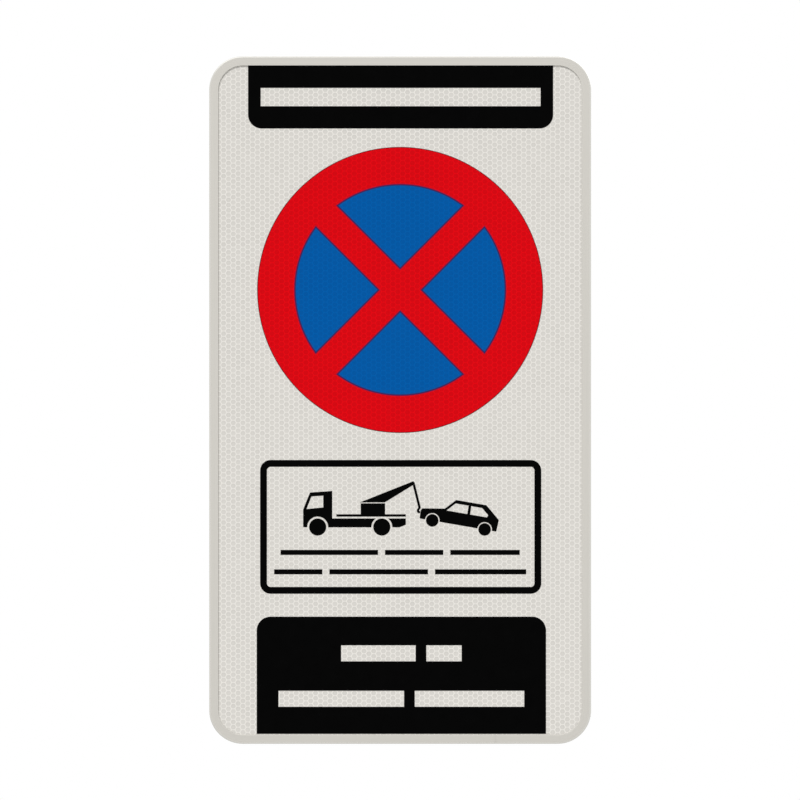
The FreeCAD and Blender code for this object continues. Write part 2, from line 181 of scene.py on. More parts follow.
scene = bpy.context.scene
scene.view_settings.view_transform = "Standard"
scene.world = bpy.data.worlds.new("studio_air")
scene.world.use_nodes = True
scene.world.node_tree.nodes.clear()
air = Wiring(scene.world.node_tree)
path = air.node("ShaderNodeLightPath")
seen = air.math("MAXIMUM", path.outputs["Is Camera Ray"], path.outputs["Is Glossy Ray"])
seen = air.math("MAXIMUM", seen, path.outputs["Is Transmission Ray"])
soft = air.node("ShaderNodeBackground", {"Color": (1, 1, 1, 1), "Strength": AMBIENT})
white = air.node("ShaderNodeBackground", {"Color": (1, 1, 1, 1), "Strength": 1.0})
mixed = air.node("ShaderNodeMixShader", {0: seen, 1: soft.outputs[0], 2: white.outputs[0]})
air.node("ShaderNodeOutputWorld", {"Surface": mixed.outputs[0]})
print("ambient light", AMBIENT, "and white behind the sign")

# %% [markdown]
# ## Lamps
# In the photograph the rim throws a thin dark line on the film along the left side and in both top
# corners, and its lower inner edge is light. So the main light comes from the upper left. A small
# lamp close by would fall off down the sign, and the film is evenly bright, so a sun does it. In
# the metal's bends a lamp that small would burn a white spot. So gloss doesn't see it. It sees a
# wide soft lamp in the same place. A third lamp, from behind, shapes the back of the sign.

# %% Sun lamps
def sun(name, towards, strength, spread, blind_to=""):
    """A lamp at infinity that stands in a direction; spread is its apparent size in degrees.

    Blind_to names the kind of reflection, "glossy" or "diffuse", that doesn't see the lamp.
    """
    data = bpy.data.lights.new(name, "SUN")
    data.energy = strength
    data.angle = math.radians(spread)
    lamp = bpy.data.objects.new(name, data)
    x, y, z = towards
    lamp.rotation_euler = (math.atan2(math.hypot(x, y), z), 0, math.atan2(x, -y))
    if blind_to:
        setattr(lamp, "visible_" + blind_to, False)
    bpy.context.collection.objects.link(lamp)
    return lamp


UPPER_LEFT = (-0.28, -0.66, 0.88)
REAR_RIGHT = (0.55, 0.62, 0.60)
key_light = sun("key_light", UPPER_LEFT, 2.30, 5, "glossy")
soft_box = sun("soft_box", UPPER_LEFT, 0.60, 60, "diffuse")
back_light = sun("back_light", REAR_RIGHT, 1.3, 60)
print("lamps:", key_light.name, soft_box.name, back_light.name)

# %% [markdown]
# ## The floor
# The sign hangs free, as on its post, and the floor lies lower than the camera's frame. A floor
# that ends would show as an edge in other views. So its paint thins out to nothing with the
# distance from the middle, where the white of the world takes over, and its underside is clear.
#
# A pale floor also throws light up, which makes the film lighter towards its foot. In the lower
# rim's gloss it is darker than the world. The photograph shows neither. The floor could be darker
# or further down, but then it looks heavy or far away. So only the camera sees its full pale
# colour, and gloss sees it mostly clear.

# %% Floor
FLOOR_Z = -0.70
FLOOR_RADIUS = 1.85
FLOOR_SIDES = 96
FADE_START, FADE_END = 0.25, 0.97 * FLOOR_RADIUS
PALE_TO_CAMERA = (0.55, 0.55, 0.545, 1)
PALE_TO_LIGHT = (0.47, 0.47, 0.465, 1)
CLEAR_TO_GLOSS = 0.7

floor_turns = np.linspace(0, 2 * np.pi, FLOOR_SIDES, endpoint=False)
floor_rim = FLOOR_RADIUS * np.stack([np.cos(floor_turns), np.sin(floor_turns)], axis=1)
floor_rim = np.insert(floor_rim, 2, FLOOR_Z, axis=1)
floor_mesh = bpy.data.meshes.new("floor")
floor_mesh.from_pydata(floor_rim.tolist(), [], [list(range(FLOOR_SIDES))])
floor = bpy.data.objects.new("floor", floor_mesh)
bpy.context.collection.objects.link(floor)

floor_paint = bpy.data.materials.new("pale_floor")
floor_paint.use_nodes = True
floor_paint.node_tree.nodes.clear()
w = Wiring(floor_paint.node_tree)
place = w.vector("MULTIPLY", w.place(), (1, 1, 0))
thin = w.step(w.length(place), FADE_START, FADE_END)
thin = w.math("MAXIMUM", thin, w.node("ShaderNodeNewGeometry").outputs["Backfacing"])
rays = w.node("ShaderNodeLightPath")
thin = w.math("MAXIMUM", thin, w.math("MULTIPLY", rays.outputs["Is Glossy Ray"], CLEAR_TO_GLOSS))
pale = w.blend(rays.outputs["Is Camera Ray"], PALE_TO_LIGHT, PALE_TO_CAMERA)
paint = w.node("ShaderNodeBsdfDiffuse", {"Color": pale})
clear = w.node("ShaderNodeBsdfTransparent")
mixed = w.node("ShaderNodeMixShader", {0: thin, 1: paint.outputs[0], 2: clear.outputs[0]})
w.node("ShaderNodeOutputMaterial", {"Surface": mixed.outputs[0]})
floor_mesh.materials.append(floor_paint)
print("floor", FLOOR_Z, "m below the middle of the sign")

# %% [markdown]
# ## Pieces from arrays of points
# Every new piece below is worked out as whole arrays: a grid of points in rows, or a flat patch of
# faces. Blender's own primitives could be cut and joined instead, but their points then follow no
# formula. These helpers turn arrays into a mesh. Which way a face looks follows from the order of
# its corners, and the sign of the enclosed volume tells whether that order is right.

# %% Mesh helpers
SHARP_ANGLE = math.radians(35)


def tube_faces(rows, columns):
    """Faces of a closed tube of rows of points: four-cornered ones and one over each end.

    In each row the last point joins the first.
    """
    row, column = np.mgrid[0:rows - 1, 0:columns]
    after = (column + 1) % columns
    corners = [row * columns + column, (row + 1) * columns + column,
               (row + 1) * columns + after, row * columns + after]
    first = np.arange(columns)
    last = rows * columns - 1 - first
    return np.stack(corners, axis=-1).reshape(-1, 4), first[None], last[None]


def signed_volume(points, face_sets):
    """Volume inside closed faces: the sum of a . (b x c) / 6 over their triangles."""
    total = 0.0
    for faces in face_sets:
        for i in range(1, faces.shape[1] - 1):
            a, b, c = points[faces[:, 0]], points[faces[:, i]], points[faces[:, i + 1]]
            total += np.einsum("ij,ij->", a, np.cross(b, c)) / 6
    return total


def make_piece(name, points, *face_sets):
    """A mesh object right side out, riding on the sign.

    Points are in metres. Each set of faces is an array with one row of corner numbers a face.
    """
    if signed_volume(points, face_sets) < 0:
        face_sets = [faces[:, ::-1] for faces in face_sets]
    mesh = bpy.data.meshes.new(name)
    mesh.from_pydata(points.tolist(), [], [face for faces in face_sets for face in faces.tolist()])
    piece = bpy.data.objects.new(name, mesh)
    bpy.context.collection.objects.link(piece)
    mesh.shade_smooth()
    mesh.set_sharp_from_angle(angle=SHARP_ANGLE)
    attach(piece, "root")
    triangles = sum(len(faces) * (faces.shape[1] - 2) for faces in face_sets)
    print(name, len(points), "points,", triangles, "triangles")
    return piece


def border_edges(faces):
    """Edges that only one face of a patch has, each in that face's direction."""
    edges = np.stack([faces, np.roll(faces, -1, axis=1)], axis=-1).reshape(-1, 2)
    either_way = np.sort(edges, axis=1)
    _, same, count = np.unique(either_way, axis=0, return_inverse=True, return_counts=True)
    return edges[count[same.ravel()] == 1]


two_squares = np.array([[0, 1, 4, 3], [1, 2, 5, 4]])
print("two squares side by side have", len(border_edges(two_squares)), "border edges")

# %% [markdown]
# ## Filling an outline
# A flat film has an outline, and often holes. One many-cornered face would do for a plain panel,
# but not with holes. A triangulation joins the outlines' points to triangles that are as little
# pointed as they can be, and keeps the outlines as edges. It fills holes too, so a test on each
# triangle's middle says which to keep.

# %% Fill helpers
def fill(points, edges, wanted):
    """Triangles over flat points (n, 2) that keep the edges and whose middles are wanted."""
    places = [Vector(p) for p in points.tolist()]
    made = delaunay_2d_cdt(places, edges.tolist(), [], 0, 1e-6, True)
    source = np.array([origins[0] for origins in made[3]])
    triangles = source[np.array(made[2])]
    return triangles[wanted(points[triangles].mean(axis=1))]


def loop_edges(start, count):
    """Edges that close the points from number start on into a loop."""
    here = np.arange(count)
    return np.stack([here, (here + 1) % count], axis=1) + start


def on_circle(radius, turn):
    """Flat points (x, z) on a circle about the middle, at turns in radians."""
    return radius * np.stack([np.cos(turn), np.sin(turn)], axis=1)


def stand_up(flat, y):
    """Flat points (x, z) as points in space at one y."""
    return np.insert(flat, 1, y, axis=1)


def everywhere(middles):
    """True for each middle, for an outline without holes."""
    return np.ones(len(middles), bool)


square = np.array([[0.0, 0.0], [1.0, 0.0], [1.0, 1.0], [0.0, 1.0]])
print("a square is filled with", len(fill(square, loop_edges(0, 4), everywhere)), "triangles")

# %% [markdown]
# ## The honeycomb lattice
# The white film is clear plastic sealed on to its base along a honeycomb of fine ribs, which show
# as light lines round slightly darker cells. It could be a picture laid over the plate, but a
# picture blurs close up. A lattice of cells needs only its pitch and one centre. Neighbouring
# columns stand half a cell apart, so two plain square-cornered lattices, one shifted against the
# other, hold all centres: each point belongs to the nearer of two.

# %% Cell finder
COLUMN_PITCH = 0.006338
ROW_PITCH = 0.006869
CELL_CENTRE = (0.00336, 0.00118)
ROUNDNESS = 0.28
CIRCLE_RADIUS = ROW_PITCH / 1.8


def honeycomb_group():
    """A node group that finds each point's cell in the lattice.

    Wrapping a coordinate to plus or minus half a period gives the way from the nearest centre.
    Shape is 0 in a cell's centre and about 1 along its border: twice the largest share of the way
    to a neighbour, which makes a hexagon, mixed with some of the distance as a share of a circle's
    radius, which rounds the cell's corners. Number is a random value, the same all over one cell.
    """
    group = bpy.data.node_groups.new("honeycomb_cells", "ShaderNodeTree")
    for name in ("Shape", "Number"):
        group.interface.new_socket(name, in_out="OUTPUT", socket_type="NodeSocketFloat")
    w = Wiring(group)
    a, b = COLUMN_PITCH, ROW_PITCH
    place = w.vector("MULTIPLY", w.place(), (1, 0, 1))
    place = w.vector("SUBTRACT", place, (CELL_CENTRE[0], 0, CELL_CENTRE[1]))
    ways = [
        w.vector("WRAP", w.vector("SUBTRACT", place, shift), (a, 1, b / 2), (-a, -1, -b / 2))
        for shift in ((0, 0, 0), (a, 0, b / 2))
    ]
    nearer = w.math("LESS_THAN", w.length(ways[1]), w.length(ways[0]))
    chosen = w.node("ShaderNodeMix", {0: nearer, 4: ways[0], 5: ways[1]}, data_type="VECTOR")
    way = chosen.outputs[1]
    parts = w.node("ShaderNodeSeparateXYZ", {0: w.vector("ABSOLUTE", way)})
    x, z = parts.outputs["X"], parts.outputs["Z"]
    upwards = w.math("MULTIPLY", z, 2 / b)
    slant = a * a + b * b / 4
    sideways = w.math("MULTIPLY", x, 2 * a / slant)
    sideways = w.math("ADD", sideways, w.math("MULTIPLY", z, b / slant))
    hexagon = w.math("MAXIMUM", upwards, sideways)
    circle = w.math("MULTIPLY", w.length(way), ROUNDNESS / CIRCLE_RADIUS)
    shape = w.math("ADD", w.math("MULTIPLY", hexagon, 1 - ROUNDNESS), circle)
    centre = w.vector("ADD", w.vector("SUBTRACT", place, way), (a / 2, 0.5, b / 4))
    number = w.node("ShaderNodeTexWhiteNoise", {0: w.vector("SNAP", centre, (a, 1, b / 2))})
    w.node("NodeGroupOutput", {"Shape": shape, "Number": number.outputs["Value"]})
    return group


cells = honeycomb_group()
film_low, film_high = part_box("face_film")
columns, rows = math.ceil(film_high.x / COLUMN_PITCH), math.ceil(film_high.z / ROW_PITCH)
print("the film is up to", 2 * columns, "columns wide and", 2 * rows, "rows high")

# %% [markdown]
# ## Starting and closing a finish
# Every finish starts with an empty material and ends with the same shader. Each could repeat those
# lines, but two short functions keep the patterns between them in sight. Gloss that is the same
# all over is set on the shader itself. On the films it is kept weak, because seen straight on they
# mirror almost nothing.

# %% Finish helpers
def start_finish(name):
    """A new material's wiring, with its nodes cleared, and the material."""
    finish = bpy.data.materials.new(name)
    finish.use_nodes = True
    finish.node_tree.nodes.clear()
    return finish, Wiring(finish.node_tree)


def end_finish(w, inputs):
    """Closes a finish with the main shader and its output."""
    shader = w.node("ShaderNodeBsdfPrincipled", inputs)
    w.node("ShaderNodeOutputMaterial", {"Surface": shader.outputs[0]})


def bump(w, height, depth, strength=1.0):
    """Normals of a surface that rises by depth metres where height goes from 0 to 1."""
    made = w.node("ShaderNodeBump", {"Height": height, "Distance": depth, "Strength": strength})
    return made.outputs["Normal"]


def wear(node, finish):
    """Gives a CAD node one finish for all its faces."""
    slots = frame["nodes"][node].material_slots
    for slot in slots:
        slot.material = finish
    if not slots:
        frame["nodes"][node].data.materials.append(finish)


print("finish helpers ready")

# %% [markdown]
# ## White reflective film, its shape
# The film's front is slightly dished in each cell, because the ribs hold it up. Bump in the finish
# could fake that, but the dishes also show in the light that slides over them and in the mesh
# itself. So each cell is a six-sided floor, a little deeper than its border, with six slopes. The
# film stays flat under the profile's lip. Its outline comes first.

# %% Film outline
FILM_RADIUS = 0.0417
EDGE_SPACING = 0.006
# Signs of x and z at each corner, from the lower right one upwards.
CORNER_SIDES = ((1, -1), (1, 1), (-1, 1), (-1, -1))


def inside_by(points, half_width, half_height, radius):
    """How far points lie inside a rounded rectangle: radius less the way out of its core."""
    out = np.abs(points) - [half_width - radius, half_height - radius]
    return radius - np.linalg.norm(np.maximum(out, 0), axis=-1) - np.minimum(out.max(axis=-1), 0)


def rounded_rectangle(half_width, half_height, radius, spacing):
    """Points round a rectangle with rounded corners, at most spacing apart."""
    arcs = []
    for quarter, (side_x, side_z) in enumerate(CORNER_SIDES):
        core = np.array([side_x * (half_width - radius), side_z * (half_height - radius)])
        steps = math.ceil(radius * np.pi / 2 / spacing)
        turn = (quarter - 1 + np.linspace(0, 1, steps + 1)) * np.pi / 2
        arcs.append(core + on_circle(radius, turn))
    runs = []
    for arc, after in zip(arcs, arcs[1:] + arcs[:1]):
        steps = math.ceil(np.linalg.norm(after[0] - arc[-1]) / spacing)
        share = np.arange(1, steps)[:, None] / steps
        runs += [arc, arc[-1] + (after[0] - arc[-1]) * share]
    return np.concatenate(runs)


film_size = (film_high.x, film_high.z, FILM_RADIUS)
film_edge = rounded_rectangle(*film_size, EDGE_SPACING)
print(len(film_edge), "points round the film")

# %% [markdown]
# ## White reflective film, its whole cells
# The film is cut from a roll, so its edge runs through cells. Each cut cell could get a dish of
# its own shape, but the lip hides them. So only whole cells with a small margin to the edge are
# kept. Their corners follow from the two pitches alone.

# %% Whole cells
LEAST_MARGIN = 0.0004


def cell_corners(a, b):
    """The six corners of a cell about its centre.

    A corner is as far from its own centre as from two neighbours' centres, which puts the side
    ones at (a + b b / 4 a) / 2 from the middle and the others at what is left of one column.
    """
    tip = (a * a + b * b / 4) / (2 * a)
    return np.array([(tip, 0), (a - tip, b / 2), (tip - a, b / 2), (-tip, 0), (tip - a, -b / 2),
                     (a - tip, -b / 2)])


def cell_numbers(points):
    """Column and row of the cell that holds each point.

    Even columns are one lattice and odd columns another. The nearest centre in each is found by
    rounding, and the nearer of the two wins.
    """
    a, b = COLUMN_PITCH, ROW_PITCH
    x, z = (points - CELL_CENTRE).T
    even = np.stack([2 * np.round(x / (2 * a)), np.round(z / b)], axis=1)
    odd = np.stack([2 * np.round((x - a) / (2 * a)) + 1, np.round(z / b - 0.5)], axis=1)
    from_even = np.hypot(x - even[:, 0] * a, z - even[:, 1] * b)
    from_odd = np.hypot(x - odd[:, 0] * a, z - (odd[:, 1] + 0.5) * b)
    return np.where((from_even < from_odd)[:, None], even, odd).astype(int)


column, row = (n.ravel() for n in np.mgrid[-columns:columns + 1, -rows:rows + 1])
centres = np.stack([column * COLUMN_PITCH, (row + column % 2 / 2) * ROW_PITCH], axis=1)
centres = centres + CELL_CENTRE
corner_ways = cell_corners(COLUMN_PITCH, ROW_PITCH)
whole = (inside_by(centres[:, None] + corner_ways, *film_size) > LEAST_MARGIN).all(axis=1)
centres, kept_cells = centres[whole], np.stack([column[whole], row[whole]], axis=1)
print(len(centres), "whole cells on the film")

# %% [markdown]
# ## White reflective film, its mesh
# Each cell could be a patch of its own, but then the film falls apart along every rib. So corners
# that cells share become one point each. The flat border between the outer cells and the edge is
# filled with triangles, and the edge is drawn back to a flat rear side.

# %% Film piece
DISH_DEPTH = 0.00005
FLOOR_SHARE = 0.80


def film_with_cells(edge):
    """The film's points in metres and its faces: floors, slopes, flat border, sides and back.

    Corners that cells share are found by whole numbers: a third of a column and half a row are
    steps small enough to tell all corners apart.
    """
    count = len(centres)
    corners = (centres[:, None] + corner_ways).reshape(-1, 2)
    steps = np.round((corners - CELL_CENTRE) * [3 / COLUMN_PITCH, 2 / ROW_PITCH])
    _, first, number = np.unique(steps, axis=0, return_index=True, return_inverse=True)
    corners, cell = corners[first], number.reshape(count, 6)
    floors = (centres[:, None] + FLOOR_SHARE * corner_ways).reshape(-1, 2)
    floor = len(corners) + np.arange(count * 6).reshape(count, 6)
    ahead, floor_ahead = np.roll(cell, -1, axis=1), np.roll(floor, -1, axis=1)
    slopes = np.stack([cell, ahead, floor_ahead, floor], axis=-1).reshape(-1, 4)

    zigzag = border_edges(cell)
    used, zigzag = np.unique(zigzag, return_inverse=True)
    zigzag = zigzag.reshape(-1, 2)
    kept = {tuple(c) for c in kept_cells.tolist()}
    border = fill(
        np.concatenate([corners[used], edge]),
        np.concatenate([zigzag, loop_edges(len(used), len(edge))]),
        lambda middles: np.array([tuple(c) not in kept for c in cell_numbers(middles).tolist()]),
    )
    front_edge = len(corners) + count * 6 + np.arange(len(edge))
    border = np.concatenate([used, front_edge])[border]
    back_edge = front_edge + len(edge)
    sides = [np.roll(front_edge, -1), front_edge, back_edge, np.roll(back_edge, -1)]
    points = np.concatenate([
        stand_up(corners, film_low.y), stand_up(floors, film_low.y + DISH_DEPTH),
        stand_up(edge, film_low.y), stand_up(edge, film_high.y),
    ])
    return points, floor, slopes, border, np.stack(sides, axis=1), back_edge[None, ::-1]


white_sheet = make_piece("white_film_with_cells", *film_with_cells(film_edge))
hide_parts("face_film")

# %% [markdown]
# ## White reflective film, its finish
# The cells are a little darker than the ribs between them and a trace lighter in their middle, and
# no two are quite alike. The ribs could have hard edges, as they have in the mesh, but they are
# seen through clear plastic. So the colour goes softly from cell to rib.

# %% White film
RIB_START, RIB_END = 0.79, 0.92
MIDDLE_START, MIDDLE_END = 0.1, 0.5
LIGHTER_MIDDLE = 0.6


def honeycomb(w):
    """Rib (0 in a cell, 1 on a rib), shape and number of the cell at each point."""
    found = w.node("ShaderNodeGroup", node_tree=cells)
    shape = found.outputs["Shape"]
    return w.step(shape, RIB_START, RIB_END), shape, found.outputs["Number"]


white_film, w = start_finish("white_reflective_film")
rib, shape, number = honeycomb(w)
cell_shade = w.blend(number, screen(211, 208, 202), screen(216, 213, 207))
middle = w.step(shape, MIDDLE_START, MIDDLE_END, low=LIGHTER_MIDDLE, high=0.0)
cell_shade = w.blend(middle, cell_shade, screen(217, 214, 208))
end_finish(w, {
    "Base Color": w.blend(rib, cell_shade, screen(235, 232, 226)),
    "Roughness": 0.28,
    "Specular IOR Level": 0.12,
})
white_sheet.data.materials.append(white_film)
print("white film done")

# %% [markdown]
# ## Borders of the roundel
# Where red and blue overlap a little along their borders, a thin line of dark purple shows, and
# the disc has a thin dark edge. Both lines could be strips of mesh, but in the real thing they are
# the same flat print. So the finish measures how far a point is from each border. Ring and cross
# are as wide as in the CAD model, in shares of the disc's diameter.

# %% Borders of the roundel
RING_SHARE = 0.132
CROSS_SHARE = 0.1056

ring_low, ring_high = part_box("roundel_ring_and_cross")
roundel_radius = (ring_high.x - ring_low.x) / 2
roundel_z = (ring_high.z + ring_low.z) / 2
FIELD_RADIUS = roundel_radius * (1 - 2 * RING_SHARE)
CROSS_HALF_WIDTH = roundel_radius * CROSS_SHARE


def border_distances(w):
    """Distances in metres from the red and blue border and from the disc's edge.

    A point is inside a blue field where it is nearer to the middle than the field's arc and
    further from both arms of the cross than half their width. The larger of the two excesses is
    0 on the border.
    """
    place = w.place()
    place = w.vector("SUBTRACT", place, (0, 0, roundel_z))
    place = w.vector("MULTIPLY", place, (1, 0, 1))
    parts = w.node("ShaderNodeSeparateXYZ", {0: w.vector("ABSOLUTE", place)})
    apart = w.math("ABSOLUTE", w.math("SUBTRACT", parts.outputs["X"], parts.outputs["Z"]))
    from_arm = w.math("SUBTRACT", CROSS_HALF_WIDTH, w.math("MULTIPLY", apart, math.sqrt(0.5)))
    reach = w.length(place)
    from_arc = w.math("SUBTRACT", reach, FIELD_RADIUS)
    border = w.math("ABSOLUTE", w.math("MAXIMUM", from_arc, from_arm))
    return border, w.math("SUBTRACT", roundel_radius, reach)


print("roundel", round(2000 * roundel_radius), "mm across, centre at", round(roundel_z, 4))

# %% [markdown]
# ## Outlines of the roundel
# A disc of this size shows every corner in its edge, so its circles get a point for each degree or
# less. Each blue field could be drawn on its own, but then four outlines have to agree. So one is
# worked out, and the other three are its quarter turns.

# %% Outlines of the roundel
DISC_POINTS = 360
ARC_POINTS = 81


def field_outline():
    """The right-hand blue field: its corner, then its arc from below to above.

    The sides run at 45 degrees from the corner at c on the x axis and meet the circle of radius r
    where x is (c + sqrt(2 r r - c c)) / 2.
    """
    corner = CROSS_HALF_WIDTH * math.sqrt(2)
    x = (corner + math.sqrt(2 * FIELD_RADIUS**2 - corner**2)) / 2
    end = math.atan2(x - corner, x)
    turn = np.linspace(-end, end, ARC_POINTS)
    return np.concatenate([[[corner, 0]], on_circle(FIELD_RADIUS, turn)])


def quarter_turn(flat, quarters):
    """Flat points turned by quarters of a circle, right to top to left to bottom."""
    cos, sin = round(math.cos(quarters * math.pi / 2)), round(math.sin(quarters * math.pi / 2))
    return flat @ np.array([[cos, sin], [-sin, cos]])


disc = on_circle(roundel_radius, np.radians(np.arange(DISC_POINTS) * 360 / DISC_POINTS))
fields = [quarter_turn(field_outline(), quarters) for quarters in range(4)]
print(len(disc), "points round the disc,", len(fields[0]), "round each field")

# %% [markdown]
# ## The roundel's pieces
# The blue fields could lie on a full red disc, but then they would stand up from it. In the print
# all colours lie in one plane. So the red piece is the disc with four holes, and a blue field
# fills each hole. All are 0.1 mm thick.

# %% Roundel pieces
CHORD_SLACK = 0.9999


def flat_film(name, node, flat, triangles):
    """A flat film from its front's triangles: the same again at the back, and sides between."""
    low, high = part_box(node)
    points = np.concatenate([stand_up(flat, low.y), stand_up(flat, high.y)])
    start, end = border_edges(triangles).T
    sides = np.stack([end, start, start + len(flat), end + len(flat)], axis=1)
    piece = make_piece(name, points, triangles, triangles[:, ::-1] + len(flat), sides)
    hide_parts(node)
    return piece


def on_red(middles):
    """True where a point is outside the fields' circle, or within the cross.

    The circle's chords lie a trace inside it, which the slack makes up for.
    """
    apart = np.abs(np.abs(middles[:, 0]) - np.abs(middles[:, 1])) * math.sqrt(0.5)
    outside = np.linalg.norm(middles, axis=1) > FIELD_RADIUS * CHORD_SLACK
    return outside | (apart < CROSS_HALF_WIDTH)


up = np.array([0, roundel_z])
outlines = [disc, *fields]
starts = np.cumsum([0] + [len(o) for o in outlines])
edges = np.concatenate([loop_edges(start, len(o)) for start, o in zip(starts, outlines)])
flat = np.concatenate(outlines)
red_faces = fill(flat, edges, on_red)
red_piece = flat_film("red_ring_and_cross", "roundel_ring_and_cross", flat + up, red_faces)
blue_pieces = []
for field, side in zip(fields, ("right", "top", "left", "bottom")):
    blue_faces = fill(field, loop_edges(0, len(field)), everywhere)
    piece = flat_film(f"blue_field_{side}", f"roundel_field_{side}", field + up, blue_faces)
    blue_pieces.append(piece)

# %% [markdown]
# ## Red and blue clear films
# These are transparent colours on the white film, so the honeycomb shows through them, only
# fainter. Real transparency over the white piece could do that, but then each colour that shows
# is the product of two finishes. So the colours that cell and rib have through the film are
# written down, one function for both films. The lines along the borders come last, over the rest.

# %% Red and blue films
CELL_SPREAD = 0.15
OVERLAP_WIDTH = 0.002
EDGE_START, EDGE_END = 0.0006, 0.0012


def clear_film(name, cell_colour, rib_colour):
    """A transparent colour over the honeycomb, with its overlap line and dark edge."""
    finish, w = start_finish(name)
    rib, _, number = honeycomb(w)
    colour = w.blend(rib, cell_colour, rib_colour)
    colour = w.blend(w.math("MULTIPLY", number, CELL_SPREAD), colour, rib_colour)
    border, edge = border_distances(w)
    overlap = w.step(border, 0.0, OVERLAP_WIDTH, low=1.0, high=0.0)
    colour = w.blend(overlap, colour, screen(50, 30, 76))
    dark_edge = w.step(edge, EDGE_START, EDGE_END, low=1.0, high=0.0)
    colour = w.blend(dark_edge, colour, screen(92, 15, 25))
    end_finish(w, {
        "Base Color": colour,
        "Roughness": 0.25,
        "Specular IOR Level": 0.04,
        "Normal": bump(w, rib, depth=0.00003, strength=0.4),
    })
    return finish


red_film = clear_film("red_clear_film", screen(209, 4, 15), screen(229, 6, 18))
blue_film = clear_film("blue_clear_film", screen(0, 85, 159), screen(0, 92, 170))
red_piece.data.materials.append(red_film)
for piece in blue_pieces:
    piece.data.materials.append(blue_film)
print("red and blue films done")

# %% [markdown]
# ## Black film
# The panels, the pictogram and the bars are opaque black film, so no honeycomb shows. One even
# black would do from afar, but the film isn't perfectly flat on the ribs below it. A faint slow
# unevenness of its gloss shows that.

# %% Black film
black_film, w = start_finish("black_film")
place = w.place()
uneven = w.noise(place, scale=60.0, detail=3.0)
end_finish(w, {
    "Base Color": w.blend(uneven, screen(1, 1, 1), screen(4, 4, 4)),
    "Roughness": w.step(uneven, 0.3, 0.7, low=0.22, high=0.30),
    "Specular IOR Level": 0.02,
    "Normal": bump(w, uneven, depth=0.00002, strength=0.4),
})
subparts = frame["record"]["subparts"]
black_nodes = [part["node"] for part in subparts if part["material_slot"] == "film_black"]
for node in black_nodes:
    wear(node, black_film)
print(len(black_nodes), "black pieces done")

# %% [markdown]
# ## The edge profile's section
# The profile is an extrusion: one outline pushed through a die, metres at a time. It could be
# built from boxes, but then it has seams where a real one has none. So it is one outline, which
# goes from the outer rear corner round the T-shaped groove, into the plate's slot and round the
# front lip.

# %% Corners of the section
DEPTH, WALL = 18.0, 1.8
GROOVE_WIDTH, GROOVE_FLOOR = 16.5, 1.8
MOUTH_WIDTH, REAR_LIP = 8.5, 2.2
FRONT_LIP_WIDTH, FRONT_LIP = 12.0, 1.6
PLATE_SLOT = 2.55

groove_end = WALL + GROOVE_WIDTH
width = groove_end + WALL
mouth_start, mouth_end = (width - MOUTH_WIDTH) / 2, (width + MOUTH_WIDTH) / 2
lip_back = DEPTH - FRONT_LIP
plate_back = lip_back - PLATE_SLOT
groove_top = plate_back - GROOVE_FLOOR
# Each corner: millimetres from the outer edge, from the rear plane, and its radius.
SECTION = [
    (0.0, 0.0, 0.6), (mouth_start, 0.0, 0.4), (mouth_start, REAR_LIP, 0.25),
    (WALL, REAR_LIP, 0.3), (WALL, groove_top, 0.4), (groove_end, groove_top, 0.4),
    (groove_end, REAR_LIP, 0.3), (mouth_end, REAR_LIP, 0.25), (mouth_end, 0.0, 0.4),
    (width, 0.0, 0.5), (width, plate_back, 0.3), (WALL, plate_back, 0.1),
    (WALL, lip_back, 0.1), (FRONT_LIP_WIDTH, lip_back, 0.2), (FRONT_LIP_WIDTH, DEPTH, 0.5),
    (0.0, DEPTH, 1.4),
]
print("section", round(width, 1), "mm wide, with", len(SECTION), "corners")

# %% [markdown]
# ## Rounding the section
# The look of an extrusion is in its edges, which no die leaves sharp. A Bevel modifier could round
# them, but here nearly every edge has a radius of its own, and the front lip's outer edge is far
# rounder than the others. So each corner of the outline gets its own arc.

# %% Section of the profile
def rounded_outline(corners, steps=6, support=0.12):
    """Points of an outline with rounded corners, in millimetres.

    An arc touches both sides at radius / tan(half the corner's angle) from the corner. Its points
    turn about its centre from one touching point to the other. One more point stands a little
    before and after each arc, so that smooth shading doesn't bend the flats.
    """
    corners = np.array(corners)
    points = corners[:, :2]
    outline = []
    for i, here in enumerate(points):
        radius = corners[i, 2]
        back = points[i - 1] - here
        ahead = points[(i + 1) % len(points)] - here
        back, ahead = back / np.linalg.norm(back), ahead / np.linalg.norm(ahead)
        half = np.arccos(np.clip(back @ ahead, -1, 1)) / 2
        reach = radius / np.tan(half)
        middle = here + (back + ahead) / np.linalg.norm(back + ahead) * radius / np.sin(half)
        start, end = here + back * reach - middle, here + ahead * reach - middle
        share = np.linspace(0, 1, steps + 1)[:, None]
        sweep = np.pi - 2 * half
        arc = (np.sin((1 - share) * sweep) * start + np.sin(share * sweep) * end) / np.sin(sweep)
        arc = middle + arc
        outline += [here + back * (reach + support), *arc, here + ahead * (reach + support)]
    return np.array(outline)


section = rounded_outline(SECTION)
POINTS_A_CORNER = len(section) // len(SECTION)
print("section of", len(section), "points")

# %% [markdown]
# ## The profile round the sign
# The section is carried round the sign's outline. Blender's curves could do that, with the section
# as their bevel, but a bend of theirs is only near a true circle. Here each point of the section
# runs on a circle about the corner's centre, and between bends it runs straight. The path starts
# and ends at the joint in the bottom member, where a saw cut 0.2 mm wide stays open.

# %% Edge profile
CORNER_RADIUS = 44.0
HALF_WIDTH, HALF_HEIGHT = round(1000 * cad_box[1].x, 2), round(1000 * cad_box[1].z, 2)
JOINT_X, JOINT_GAP = 125.0, 0.2


